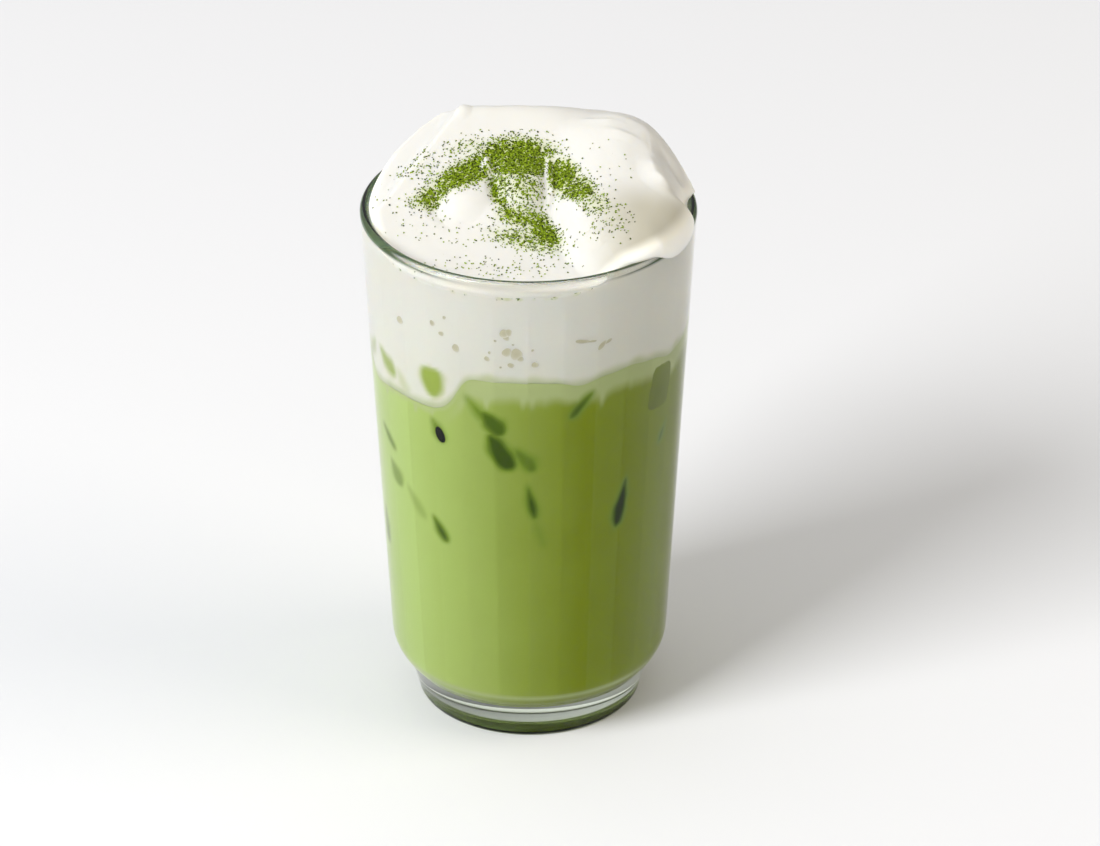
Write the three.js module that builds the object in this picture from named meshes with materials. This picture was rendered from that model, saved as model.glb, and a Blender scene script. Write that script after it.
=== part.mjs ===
// An iced matcha drink in a footed glass tumbler, topped with a spooned heap of whipped cream.
// Millimetres, +Z up. The origin is the centre of the glass's underside, and -Y is the front.
// Three solids: the glass, the green drink inside it, and the cream that floats on the drink
// and rises over the rim. Angles run round the glass from the front towards +X.
import * as THREE from "three";

// Driving dimensions of the glass
const GLASS_HEIGHT = 132;
const RIM_RADIUS = 40;
const RIM_WALL = 2.4;
const SHOULDER_RADIUS = 33.8;
const SHOULDER_ROUND = 10;
const SHOULDER_HEIGHT = 18;
const SHOULDER_WALL = 3;
const FOOT_TOP_RADIUS = 30.1;
const FOOT_RADIUS = 27.4;
const FOOT_HEEL_ROUND = 1;
const FOOT_RING_WIDTH = 3;
const PUNT_DEPTH = 0.5;
const FLOOR_HEIGHT = 9.5;
const FLOOR_ROUND = 8.5;

// The inside wall is moulded in flat upright panels that fade out at the rim and at the floor
const PANELS = 28;
const PANEL_TOP = 118;
const PANEL_BOTTOM = 18;
const PANEL_FADE = 8;

// Clearance between the drink, the cream and the glass, and what is added to it over the round of
// the bead and down its outside, where the cream crosses it
const GAP = 0.3;
const BEAD_LIFT = 1.1;
const OUTER_LIFT = 0.35;

// Steps round each solid, two or three to a panel
const GLASS_STEPS = 2 * PANELS;
const FOOD_STEPS = 3 * PANELS;

// Line where the drink meets the cream on the glass, with the swells and dips round it: each has
// its angle, its half width in degrees, its rise and the power that squares its flanks
const DRINK_LEVEL = 104;
const DRINK_SWELLS = [
  { name: "dip at the front left", angle: -55, width: 28, rise: -11, power: 8 },
  { name: "slope at the left", angle: -100, width: 30, rise: -5, power: 2 },
  { name: "sag at the front right", angle: 20, width: 8, rise: -1.6, power: 2 },
  { name: "slope at the right", angle: 66, width: 14, rise: -3, power: 2 },
  { name: "dip at the back", angle: 165, width: 34, rise: -6, power: 4 },
];

// Where the cream's skin leaves the glass: a length along the glass from the foot of the rim's
// bead, up and over it. Below zero is down the inside wall, past the bead is down the outside.
const CREAM_EDGE = -0.9;
const CREAM_EDGE_SWELLS = [
  { name: "low pool at the front", angle: -18, width: 42, rise: -2.4, power: 6 },
  { name: "meniscus at the left", angle: -100, width: 34, rise: 1.5, power: 4 },
  { name: "lobe on the rim", angle: 56, width: 20, rise: 3.9, power: 4 },
  { name: "lobe over the rim", angle: 66, width: 13, rise: 3.3, power: 4 },
  { name: "gap beside the lobe", angle: 86, width: 8, rise: -1, power: 4 },
  { name: "heap at the right", angle: 118, width: 25, rise: 4.8, power: 6 },
  { name: "heap at the back", angle: 172, width: 40, rise: 1.2, power: 2 },
];

// How far in from its edge the cream's skin is rounded over, how far its side bulges past the
// edge, and how thickly it covers the rim's bead where it hangs over it
const CREAM_ROLL = 3;
const CREAM_ROLL_SWELLS = [
  { name: "lobe over the rim", angle: 56, width: 24, rise: 5, power: 4 },
  { name: "full side at the right", angle: 105, width: 30, rise: 4, power: 2 },
];
const CREAM_BELLY = 0;
const CREAM_BELLY_SWELLS = [
  { name: "lobe over the rim", angle: 58, width: 20, rise: 1.2, power: 4 },
  { name: "full side at the right", angle: 114, width: 22, rise: 0.3, power: 4 },
];
const CREAM_OVER_BEAD = 1.2;
const ON_BEAD_FROM = 1.5;
const ON_BEAD_FULL = 3.5;

// The heap: a pool at the front, and a slope that rises to the back between a straight left side,
// a rounded back and a right side that falls away. Heights are above the rim.
const POOL = { level: -3.3, rise: 1, width: 26 };
const SLOPE = { level: 4.2, riseX: 0.02, riseY: 0.47 };
const LEFT_SIDE = { level: 39.1, riseX: 1.1, riseY: -0.3 };
const LEFT_BACK = { level: 6.15, riseX: 0.15, riseY: 0.25 };
const BACK = { level: 15.2, from: 20, fall: 0.06 };
const RIGHT_SIDE = { level: 15.4, fall: 0.018 };
const SIDE_BLEND = 2;
const LEFT_BLEND = 1;
const BACK_BLEND = 1.5;
const RIGHT_BLEND = 3;
const POOL_BLEND = 5;

// Spoonfuls of cream, each a rounded lobe: its highest point above the rim, its tilts, its half
// sizes where the top has fallen by drop, its turn about Z in degrees, and the power and blend
// that shape its flank.
const LOBES = [
  { name: "skirt", x: -7, y: -2, rx: 16, ry: 9.5, turn: -8, top: 3.2, tiltX: 0, tiltY: 0.1,
    drop: 5, power: 1.5, blend: 3 },
  { name: "left cheek", x: -14, y: 1.2, rx: 9.6, ry: 11.6, turn: -10, top: 5.5, tiltX: 0, tiltY: 0.14,
    drop: 6.5, power: 1.8, blend: 1.5 },
  { name: "tongue", x: -1.6, y: 4, rx: 8.2, ry: 13.6, turn: 5, top: 7.6, tiltX: 0, tiltY: 0.14,
    drop: 7.5, power: 2.2, blend: 1.2 },
  { name: "right front", x: 27, y: -14, rx: 30, ry: 17, turn: -72, top: 7, tiltX: -0.05, tiltY: 0.16,
    drop: 6, power: 1.6, blend: 2 },
  { name: "right shoulder", x: 22, y: 15, rx: 15, ry: 18, turn: 0, top: 13.2, tiltX: -0.15, tiltY: 0,
    drop: 6, power: 1, blend: 3 },
];

// A hollow that the spoon left and the small peak at the back left
const SWELLINGS = [
  { name: "bowl", x: 14, y: 6, rx: 15, ry: 10, turn: 0, rise: -1, power: 2 },
  { name: "peak", x: -15.8, y: 23, rx: 2.6, ry: 4, turn: 0, rise: 0.6, power: 1.5 },
];

// Folds and creases along a path, with their reach to the left and right of it
const FOLDS = [
  { name: "blade", path: [[6, -4.5], [10, -10], [12.5, -16]], rise: 1.4, left: 7, right: 3, power: 1.6 },
  { name: "second blade", path: [[13.5, -20], [17.5, -26]], rise: 1, left: 5, right: 2.2, power: 1.5 },
  { name: "right ridge", path: [[29, 7], [29.3, 2.9], [30, -1.7], [33, -5.6], [36.5, -7.5]],
    rise: 1.6, left: 7, right: 4, power: 1.6 },
  { name: "back edge", path: [[14, 23], [27, 17], [33, 9]], rise: 0.7, left: 6, right: 5, power: 1.6 },
  { name: "crease at the right", path: [[31, 12], [35, 5.4], [37.6, 1.5]],
    rise: -1.5, left: 3.5, right: 3.5, power: 1.6 },
];
const FOLD_SOFT = 0.12;
const FOLD_TAPER = 0.35;
const FOLD_END = 0.25;

const radians = THREE.MathUtils.degToRad;

const { clamp, euclideanModulo, lerp, radToDeg, smoothstep } = THREE.MathUtils;

// A value round the glass: a base with swells that fall away on both sides of their own angle
function sumOfSwells(base, swells, angle) {
  return swells.reduce((sum, s) => {
    const away = Math.abs(euclideanModulo(angle - s.angle + 180, 360) - 180);
    return sum + s.rise * Math.exp(-((away / s.width) ** s.power));
  }, base);
}

// Larger of two heights, rounded over a distance blend where they are close
function smoothMax(a, b, blend) {
  const share = Math.max(blend - Math.abs(a - b), 0) / blend;
  return Math.max(a, b) + (share * share * blend) / 4;
}

function smoothMin(a, b, blend) {
  return -smoothMax(-a, -b, blend);
}

// Squared distance from a lobe's centre, 1 on the ellipse of its half sizes
function ellipseShare(lobe, x, y) {
  const turn = radians(lobe.turn);
  const dx = x - lobe.x;
  const dy = y - lobe.y;
  const along = dx * Math.cos(turn) + dy * Math.sin(turn);
  const across = dy * Math.cos(turn) - dx * Math.sin(turn);
  return (along / lobe.rx) ** 2 + (across / lobe.ry) ** 2;
}

// Height of a fold: a ridge along its path, sharp on top and low at both ends
function foldHeight(fold, x, y) {
  const legs = fold.path.slice(1).map(([bx, by], i) => {
    const [ax, ay] = fold.path[i];
    const length = Math.hypot(bx - ax, by - ay);
    return { ax, ay, length, ux: (bx - ax) / length, uy: (by - ay) / length };
  });
  const total = legs.reduce((sum, leg) => sum + leg.length, 0);
  let nearest = { away: Infinity };
  let gone = 0;
  for (const leg of legs) {
    const along = clamp((x - leg.ax) * leg.ux + (y - leg.ay) * leg.uy, 0, leg.length);
    const dx = x - leg.ax - along * leg.ux;
    const dy = y - leg.ay - along * leg.uy;
    const away = Math.hypot(dx, dy);
    if (away < nearest.away) {
      nearest = { away, side: leg.ux * dy - leg.uy * dx, share: (gone + along) / total };
    }
    gone += leg.length;
  }
  const reach = nearest.side > 0 ? fold.left : fold.right;
  const fall = Math.hypot(nearest.away / reach, FOLD_SOFT) - FOLD_SOFT;
  const end = smoothstep(Math.min(nearest.share, 1 - nearest.share), 0, FOLD_TAPER);
  return fold.rise * lerp(FOLD_END, 1, end) * clamp(1 - fall, 0, 1) ** fold.power;
}

function plane(flat, x, y) {
  return flat.level + flat.riseX * x + flat.riseY * y;
}

// Height of the cream above the rim before its edge is rounded
function creamHeight(x, y) {
  const pool = POOL.level + POOL.rise * Math.exp(-(x * x + y * y) / POOL.width ** 2);
  const leftSide = smoothMax(plane(LEFT_SIDE, x, y), plane(LEFT_BACK, x, y), SIDE_BLEND);
  const back = BACK.level - BACK.fall * Math.max(y - BACK.from, 0) ** 2;
  const rightSide = RIGHT_SIDE.level - RIGHT_SIDE.fall * Math.max(x, 0) ** 2;
  let height = smoothMin(plane(SLOPE, x, y), leftSide, LEFT_BLEND);
  height = smoothMin(height, back, BACK_BLEND);
  height = smoothMin(height, rightSide, RIGHT_BLEND);
  height = smoothMax(pool, height, POOL_BLEND);
  for (const lobe of LOBES) {
    const top = lobe.top + lobe.tiltX * (x - lobe.x) + lobe.tiltY * (y - lobe.y);
    height = smoothMax(height, top - lobe.drop * ellipseShare(lobe, x, y) ** lobe.power, lobe.blend);
  }
  for (const swelling of SWELLINGS) {
    height += swelling.rise * Math.max(1 - ellipseShare(swelling, x, y), 0) ** swelling.power;
  }
  for (const fold of FOLDS) {
    height += foldHeight(fold, x, y);
  }
  return height;
}

const wallSlope = (RIM_RADIUS - SHOULDER_RADIUS) / (GLASS_HEIGHT - SHOULDER_HEIGHT);
const beadRadius = RIM_WALL / 2;
const beadHeight = GLASS_HEIGHT - beadRadius;
const beadCentre = RIM_RADIUS - beadRadius;

function outsideRadius(z) {
  return SHOULDER_RADIUS + wallSlope * (z - SHOULDER_HEIGHT);
}

function wallThickness(z) {
  const share = (z - SHOULDER_HEIGHT) / (beadHeight - SHOULDER_HEIGHT);
  return lerp(SHOULDER_WALL, RIM_WALL, clamp(share, 0, 1));
}

function insideRadius(z) {
  return outsideRadius(z) - wallThickness(z);
}

// How far the flat panels draw the inside wall in at an angle and height, as a share of its radius
function panelShare(angle, z) {
  const half = 180 / PANELS;
  const off = euclideanModulo(angle, 2 * half) - half;
  const flat = Math.cos(radians(half)) / Math.cos(radians(off));
  const fadeIn = smoothstep(z, PANEL_BOTTOM - PANEL_FADE, PANEL_BOTTOM);
  const fadeOut = 1 - smoothstep(z, PANEL_TOP, PANEL_TOP + PANEL_FADE);
  return 1 - (1 - flat) * fadeIn * fadeOut;
}

// Points of an arc in the profile plane, angles in degrees from +r towards +z
function arc(r, z, radius, from, to, steps) {
  return Array.from({ length: steps + 1 }, (_, i) => {
    const a = radians(from + ((to - from) * i) / steps);
    return [r + radius * Math.cos(a), z + radius * Math.sin(a)];
  });
}

// A solid turned from a profile of [radius, height] points, bent at each angle by place
function turned(profile, steps, place) {
  const points = profile.map(([r, z]) => new THREE.Vector2(r, z));
  const geometry = new THREE.LatheGeometry(points, steps);
  const position = geometry.attributes.position;
  for (let i = 0; i < position.count; i++) {
    const step = Math.floor(i / profile.length);
    const angle = (360 * (step % steps)) / steps;
    const [r, z] = place(i % profile.length, angle);
    position.setXYZ(i, r * Math.sin(radians(angle)), -r * Math.cos(radians(angle)), z);
  }
  geometry.computeVertexNormals();
  return geometry;
}

// Shares of the way out across the underside, and the power that keeps its hollow flat
const PUNT_SHARES = [0, 0.7, 0.9, 1];
const PUNT_POWER = 8;

// Steps along the rounded stretches of the glass's profile
const HEEL_STEPS = 3;
const SHOULDER_STEPS = 6;
const BEAD_STEPS = 6;
const FLOOR_STEPS = 5;

// The tumbler: a solid foot with a shallow punt, a rounded shoulder, a wall that widens to a
// round bead at the rim, and a floor with a rounded corner inside.
function glassProfile() {
  const shoulderCentre = SHOULDER_RADIUS - SHOULDER_ROUND;
  const crease = -radToDeg(Math.acos((FOOT_TOP_RADIUS - shoulderCentre) / SHOULDER_ROUND));
  const ring = FOOT_RADIUS - FOOT_HEEL_ROUND;
  const punt = ring - FOOT_RING_WIDTH;
  const inside = insideRadius(FLOOR_HEIGHT + FLOOR_ROUND);
  const wallHeights = [PANEL_TOP + PANEL_FADE, PANEL_TOP, (PANEL_TOP + PANEL_BOTTOM) / 2];
  return [
    ...PUNT_SHARES.map((share) => [share * punt, PUNT_DEPTH * (1 - share ** PUNT_POWER)]),
    ...arc(ring, FOOT_HEEL_ROUND, FOOT_HEEL_ROUND, -90, 0, HEEL_STEPS),
    ...arc(shoulderCentre, SHOULDER_HEIGHT, SHOULDER_ROUND, crease, 0, SHOULDER_STEPS),
    ...arc(beadCentre, beadHeight, beadRadius, 0, 180, BEAD_STEPS),
    ...wallHeights.map((z) => [insideRadius(z), z]),
    ...arc(inside - FLOOR_ROUND, FLOOR_HEIGHT + FLOOR_ROUND, FLOOR_ROUND, 0, -90, FLOOR_STEPS),
    [0, FLOOR_HEIGHT],
  ];
}

function glassGeometry() {
  const profile = glassProfile();
  const rim = profile.findIndex(([, z]) => z === Math.max(...profile.map((p) => p[1])));
  return turned(profile, GLASS_STEPS, (i, angle) => {
    const [r, z] = profile[i];
    return [i > rim ? r * panelShare(angle, z) : r, z];
  });
}

// Height of the boundary between drink and cream, level in the middle and wavy at the glass
function drinkLevel(angle, share) {
  const atGlass = sumOfSwells(DRINK_LEVEL, DRINK_SWELLS, angle);
  return lerp(DRINK_LEVEL, atGlass, share * share);
}

// Radius of what fills the glass, clear of the wall
function fillRadius(angle, z) {
  return insideRadius(z) * panelShare(angle, z) - GAP;
}

// Turns every face of a closed surface the other way
function turnedOver(geometry) {
  const index = geometry.index;
  for (let i = 0; i < index.count; i += 3) {
    const first = index.getX(i);
    index.setX(i, index.getX(i + 1));
    index.setX(i + 1, first);
  }
  geometry.computeVertexNormals();
  return geometry;
}

// Steps from the middle out along the boundary, the same for the drink's top and the cream's
// underside, so that the two lie level with each other
const BOUNDARY_STEPS = 4;
const DRINK_WALL_SHARES = [0.65, 0.3];
const CORNER_STEPS = 4;

// The drink, from the middle of its top out to the glass, down the wall and in across the floor
function drinkGeometry() {
  const inside = insideRadius(FLOOR_HEIGHT + FLOOR_ROUND) - FLOOR_ROUND;
  const corner = arc(inside, FLOOR_HEIGHT + FLOOR_ROUND, FLOOR_ROUND - GAP, 0, -90, CORNER_STEPS);
  const top = Array.from({ length: BOUNDARY_STEPS + 1 }, (_, i) => [i / BOUNDARY_STEPS, 1]);
  const wall = DRINK_WALL_SHARES.map((share) => [1, share]);
  const profile = [...top, ...wall, ...corner, [0, FLOOR_HEIGHT + GAP]];
  const cornerStart = top.length + wall.length;
  const geometry = turned(profile, FOOD_STEPS, (i, angle) => {
    const [r, z] = profile[i];
    if (i >= cornerStart) {
      return [r * panelShare(angle, z), z];
    }
    const edge = drinkLevel(angle, 1) - GAP / 2;
    if (i >= top.length) {
      const height = lerp(FLOOR_HEIGHT + FLOOR_ROUND, edge, z);
      return [fillRadius(angle, height), height];
    }
    return [r * fillRadius(angle, edge), drinkLevel(angle, r) - GAP / 2];
  });
  return turnedOver(geometry);
}

// A point on the glass where the cream's skin starts, for a length from the foot of the bead,
// lifted off the wall by the clearance and off the round of the bead by a little more
function rimPoint(length) {
  const bead = Math.PI * beadRadius;
  const outer = smoothstep(length, bead / 2, bead);
  const over = beadRadius + GAP + lerp(BEAD_LIFT, OUTER_LIFT, outer);
  if (length < 0) {
    const lift = BEAD_LIFT * smoothstep(length, -RIM_WALL, 0);
    return [insideRadius(beadHeight + length) - GAP - lift, beadHeight + length];
  }
  if (length < bead) {
    const a = Math.PI - length / beadRadius;
    return [beadCentre + over * Math.cos(a), beadHeight + over * Math.sin(a)];
  }
  return [beadCentre + over - wallSlope * (length - bead), beadHeight - (length - bead)];
}

const WALL_STEPS = 3;
const RIM_STEPS = 4;
const SKIN_STEPS = 19;

// The cream: its underside on the drink, its side against the glass, the stretch that follows
// the rim's bead, and its heaped skin from the edge to the middle.
function creamGeometry() {
  const count = BOUNDARY_STEPS + WALL_STEPS + RIM_STEPS + SKIN_STEPS;
  const profile = Array.from({ length: count + 1 }, (_, i) => [i === 0 || i === count ? 0 : 1, i]);
  return turned(profile, FOOD_STEPS, (i, angle) => {
    const level = drinkLevel(angle, 1) + GAP / 2;
    const edge = sumOfSwells(CREAM_EDGE, CREAM_EDGE_SWELLS, angle);
    if (i < BOUNDARY_STEPS) {
      const share = i / BOUNDARY_STEPS;
      return [share * fillRadius(angle, level), drinkLevel(angle, share) + GAP / 2];
    }
    const wallStep = i - BOUNDARY_STEPS;
    const wallTop = beadHeight + Math.min(edge, 0);
    if (wallStep < WALL_STEPS) {
      const z = lerp(level, wallTop, wallStep / WALL_STEPS);
      return [fillRadius(angle, z), z];
    }
    const rimStep = wallStep - WALL_STEPS;
    if (rimStep < RIM_STEPS) {
      return rimPoint(lerp(wallTop - beadHeight, edge, rimStep / RIM_STEPS));
    }
    const share = (rimStep - RIM_STEPS) / SKIN_STEPS;
    return skinPoint(angle, Math.cos((share * Math.PI) / 2), edge);
  });
}

// Height that just covers the rim's bead at a radius, and far below it beside the bead
function overBead(r) {
  const reach = beadRadius + CREAM_OVER_BEAD;
  const off = Math.abs(r - beadCentre);
  return off < reach ? beadHeight + Math.sqrt(reach * reach - off * off) : -Infinity;
}

// A point of the cream's skin at a share of the way out, rounded down to its edge
function skinPoint(angle, share, edge) {
  const [edgeRadius, edgeHeight] = rimPoint(edge);
  const roll = sumOfSwells(CREAM_ROLL, CREAM_ROLL_SWELLS, angle);
  const belly = sumOfSwells(CREAM_BELLY, CREAM_BELLY_SWELLS, angle);
  const level = share * edgeRadius;
  const past = Math.asin(clamp((level - edgeRadius + roll) / roll, 0, 1));
  const top = GLASS_HEIGHT + creamHeight(level * Math.sin(radians(angle)), -level * Math.cos(radians(angle)));
  const r = level + belly * Math.sin(2 * past);
  const z = lerp(edgeHeight, top, Math.cos(past));
  const cover = Math.max(overBead(r), z);
  return [r, lerp(z, cover, smoothstep(edge, ON_BEAD_FROM, ON_BEAD_FULL))];
}

function part(name, geometry, look) {
  const mesh = new THREE.Mesh(geometry, new THREE.MeshStandardMaterial(look));
  mesh.name = name;
  return mesh;
}

const drink = new THREE.Group();
drink.add(
  part("glass", glassGeometry(), { color: 0xe4efe8, roughness: 0.03, metalness: 0 }),
  part("matcha", drinkGeometry(), { color: 0x93ac4e, roughness: 0.4, metalness: 0 }),
  part("cream", creamGeometry(), { color: 0xf6f5ee, roughness: 0.5, metalness: 0 }),
);

export default drink;
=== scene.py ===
import math

import bmesh
import bpy
import numpy as np
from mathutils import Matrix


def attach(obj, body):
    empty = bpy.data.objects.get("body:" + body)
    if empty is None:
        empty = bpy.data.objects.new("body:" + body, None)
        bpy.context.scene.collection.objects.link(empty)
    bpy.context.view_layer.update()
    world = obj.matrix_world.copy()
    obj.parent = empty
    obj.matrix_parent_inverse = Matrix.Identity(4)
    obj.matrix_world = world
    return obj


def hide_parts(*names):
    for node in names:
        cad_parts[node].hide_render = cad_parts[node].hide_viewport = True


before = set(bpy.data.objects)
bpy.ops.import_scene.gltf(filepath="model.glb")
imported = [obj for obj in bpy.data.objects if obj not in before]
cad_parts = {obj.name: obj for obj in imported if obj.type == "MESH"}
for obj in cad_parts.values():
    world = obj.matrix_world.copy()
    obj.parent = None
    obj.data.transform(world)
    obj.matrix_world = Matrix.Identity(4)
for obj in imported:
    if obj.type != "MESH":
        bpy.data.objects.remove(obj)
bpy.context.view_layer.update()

# The glass: a footed tumbler of clear soda-lime glass, pressed in a mould. Its foot is solid, its
# wall widens to a fire-polished bead at the rim, and flat upright panels are moulded inside.
MM = 0.001
GLASS_HEIGHT = 132
RIM_RADIUS = 40
RIM_WALL = 2.4
SHOULDER_RADIUS = 33.8
SHOULDER_ROUND = 10
SHOULDER_HEIGHT = 18
SHOULDER_WALL = 3
FOOT_TOP_RADIUS = 30.1
FOOT_RADIUS = 27.4
FOOT_HEEL_ROUND = 1.0
FOOT_RING_WIDTH = 3
PUNT_DEPTH = 0.5
FLOOR_HEIGHT = 9.5
FLOOR_ROUND = 8.5
PANELS = 28
PANEL_BOTTOM = 18
PANEL_TOP = 118
PANEL_FADE = 8
RIM_DARK = 0.8
GLASS_STEPS = 12 * PANELS

WALL_SLOPE = (RIM_RADIUS - SHOULDER_RADIUS) / (GLASS_HEIGHT - SHOULDER_HEIGHT)
BEAD_RADIUS = RIM_WALL / 2
BEAD_HEIGHT = GLASS_HEIGHT - BEAD_RADIUS
BEAD_CENTRE = RIM_RADIUS - BEAD_RADIUS


def outside_radius(z):
    return SHOULDER_RADIUS + WALL_SLOPE * (z - SHOULDER_HEIGHT)


def inside_radius(z):
    share = np.clip((z - SHOULDER_HEIGHT) / (BEAD_HEIGHT - SHOULDER_HEIGHT), 0, 1)
    return outside_radius(z) - (SHOULDER_WALL + (RIM_WALL - SHOULDER_WALL) * share)


def arc(r, z, radius, start, end, steps):
    turn = np.radians(np.linspace(start, end, steps + 1))
    return [(r + radius * math.cos(a), z + radius * math.sin(a)) for a in turn]


PUNT_POWER = 8
HOLLOW_ROWS = 16
HEEL_STEPS = 10
SHOULDER_STEPS = 24
SIDE_ROWS = 12
BEAD_STEPS = 20
WELL_ROWS = 44
CORNER_STEPS = 16
FLOOR_ROWS = 6
WALL_FOOT = FLOOR_HEIGHT + FLOOR_ROUND
DARK_FROM = BEAD_HEIGHT - RIM_DARK


def glass_profile():
    """Radius and height from the middle of the underside, up the outside and down the inside."""
    shoulder_centre = SHOULDER_RADIUS - SHOULDER_ROUND
    crease = -math.degrees(math.acos((FOOT_TOP_RADIUS - shoulder_centre) / SHOULDER_ROUND))
    ring = FOOT_RADIUS - FOOT_HEEL_ROUND
    punt = ring - FOOT_RING_WIDTH
    flat_floor = inside_radius(WALL_FOOT) - FLOOR_ROUND
    hollow = [(punt * s, PUNT_DEPTH * (1 - s**PUNT_POWER)) for s in np.linspace(0, 1, HOLLOW_ROWS)]
    heel = arc(ring, FOOT_HEEL_ROUND, FOOT_HEEL_ROUND, -90, 0, HEEL_STEPS)
    shoulder = arc(shoulder_centre, SHOULDER_HEIGHT, SHOULDER_ROUND, crease, 0, SHOULDER_STEPS)
    side = [(outside_radius(z), z) for z in np.linspace(SHOULDER_HEIGHT, DARK_FROM, SIDE_ROWS)[1:]]
    bead = arc(BEAD_CENTRE, BEAD_HEIGHT, BEAD_RADIUS, 0, 180, BEAD_STEPS)
    well = [(inside_radius(z), z) for z in np.linspace(DARK_FROM, WALL_FOOT, WELL_ROWS)[:-1]]
    corner = arc(flat_floor, WALL_FOOT, FLOOR_ROUND, 0, -90, CORNER_STEPS)
    floor = [(flat_floor * s, FLOOR_HEIGHT) for s in np.linspace(1, 0, FLOOR_ROWS)[1:]]
    outer_bead = BEAD_STEPS // 2 + 1
    outer = hollow + heel + shoulder + side + bead[:outer_bead]
    return outer + bead[outer_bead:] + well + corner + floor, len(outer)


def add(tree, kind, *inputs, sockets=None, **settings):
    """Adds a node. Inputs, in order or by name, are values to set, or sockets or nodes to link."""
    made = tree.nodes.new(kind)
    for name, value in settings.items():
        setattr(made, name, value)
    for key, value in [*enumerate(inputs), *(sockets or {}).items()]:
        if isinstance(value, bpy.types.Node):
            value = value.outputs[0]
        if isinstance(value, bpy.types.NodeSocket):
            tree.links.new(value, made.inputs[key])
        elif value is not None:
            made.inputs[key].default_value = value
    return made


def grown(name, mesh, tree, values):
    """A plain mesh object grown by a node tree from a mesh, with the tree's named inputs set."""
    piece = bpy.data.objects.new(name, mesh)
    bpy.context.scene.collection.objects.link(piece)
    growth = piece.modifiers.new("growth", "NODES")
    growth.node_group = tree
    for item in tree.interface.items_tree:
        if item.in_out == "INPUT" and item.name in values:
            growth[item.identifier] = values[item.name]
    bpy.context.view_layer.update()
    evaluated = piece.evaluated_get(bpy.context.evaluated_depsgraph_get())
    result = bpy.data.meshes.new_from_object(evaluated)
    piece.modifiers.clear()
    piece.data = result
    result.name = name
    return piece


def linear(code):
    """Linear colour of an sRGB hex code."""
    parts = [int(code[i : i + 2], 16) / 255 for i in (1, 3, 5)]
    return (*(p / 12.92 if p <= 0.04045 else ((p + 0.055) / 1.055) ** 2.4 for p in parts), 1)


def new_tree(name, inputs):
    """A node tree with a geometry input and output and further named inputs."""
    tree = bpy.data.node_groups.new(name, "GeometryNodeTree")
    tree.interface.new_socket("Geometry", in_out="INPUT", socket_type="NodeSocketGeometry")
    for label, kind in inputs.items():
        tree.interface.new_socket(label, in_out="INPUT", socket_type="NodeSocket" + kind)
    tree.interface.new_socket("Geometry", in_out="OUTPUT", socket_type="NodeSocketGeometry")
    return tree, tree.nodes.new("NodeGroupInput"), tree.nodes.new("NodeGroupOutput")


def worked(tree, operation, *values):
    return add(tree, "ShaderNodeMath", *values, operation=operation)


def mixed(tree, share, first, second):
    """Socket of a colour that goes from the first to the second with a share from 0 to 1."""
    return add(tree, "ShaderNodeMix", share, sockets={6: first, 7: second}, data_type="RGBA").outputs[2]


def mark(tree, name):
    """Socket of a value stored on the points of a mesh."""
    return add(tree, "ShaderNodeAttribute", attribute_name=name).outputs["Fac"]


def new_material(name):
    material = bpy.data.materials.new(name)
    material.use_nodes = True
    return material, material.node_tree, material.node_tree.nodes["Principled BSDF"]


# Soda-lime glass, fire-polished: clear and smooth, with the faint green of its iron that shows where the eye
# looks along the rim's bead or through the foot.
# Where the bead is seen edge-on its colour is darkened to a deep green, partly that iron and partly a
# painted reflection of dark surroundings.
EDGE_ON_FROM = 0.20
EDGE_ON_FULL = 0.32
glass_material, nodes, shader = new_material("soda_lime_glass")
facing = add(nodes, "ShaderNodeLayerWeight", 0.5).outputs["Facing"]
edge_on = add(nodes, "ShaderNodeMapRange", facing, EDGE_ON_FROM, EDGE_ON_FULL, 0.0, 1.0)
# Painted reflection: the rim's bead, seen edge-on, is darkened to deep green, partly for the iron's green
# over the long path and partly for dark surroundings
edge_on_rim = worked(nodes, "MULTIPLY", edge_on, mark(nodes, "rim"))
iron_green_and_painted_dark = mixed(nodes, edge_on_rim, (1, 1, 1, 1), linear("#24381c"))
nodes.links.new(iron_green_and_painted_dark, shader.inputs["Base Color"])
shader.inputs["Roughness"].default_value = 0.0
shader.inputs["IOR"].default_value = 1.5
shader.inputs["Transmission Weight"].default_value = 1.0
shader.inputs["Specular Tint"].default_value = (0.3, 0.3, 0.3, 1)
glass_body = add(nodes, "ShaderNodeVolumeAbsorption", linear("#b4cda0"), 10.0)
nodes.links.new(glass_body.outputs[0], nodes.nodes["Material Output"].inputs["Volume"])

# The turning: a sheet of one column to a step is wrapped round the axis, each row at the radius
# and height of a profile point, with the inside drawn in to flat panels
WELD_DISTANCE = 0.001 * MM
tree, given, out = new_tree("glass_turning", {
    "Steps": "Int", "Panels": "Int", "Panel bottom": "Float", "Panel top": "Float",
    "Panel fade": "Float", "Rim bottom": "Float", "Rim top": "Float", "Material": "Material",
})
outline = given.outputs["Geometry"]
position = add(tree, "GeometryNodeInputPosition")
point_count = add(tree, "GeometryNodeAttributeDomainSize", outline).outputs["Point Count"]
columns = worked(tree, "ADD", given.outputs["Steps"], 1.0)
sheet = add(tree, "GeometryNodeMeshGrid", 1.0, 1.0, columns, point_count)
sheet_place = add(tree, "ShaderNodeSeparateXYZ", position)
across = worked(tree, "ADD", sheet_place.outputs["X"], 0.5)
along = worked(tree, "ADD", sheet_place.outputs["Y"], 0.5)
last_row = worked(tree, "SUBTRACT", point_count, 1.0)
row = worked(tree, "ROUND", worked(tree, "MULTIPLY", along, last_row))
outline_point = add(tree, "GeometryNodeSampleIndex", outline, position, row, data_type="FLOAT_VECTOR")
outline_place = add(tree, "ShaderNodeSeparateXYZ", outline_point)
outline_height = outline_place.outputs["Z"]
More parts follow.
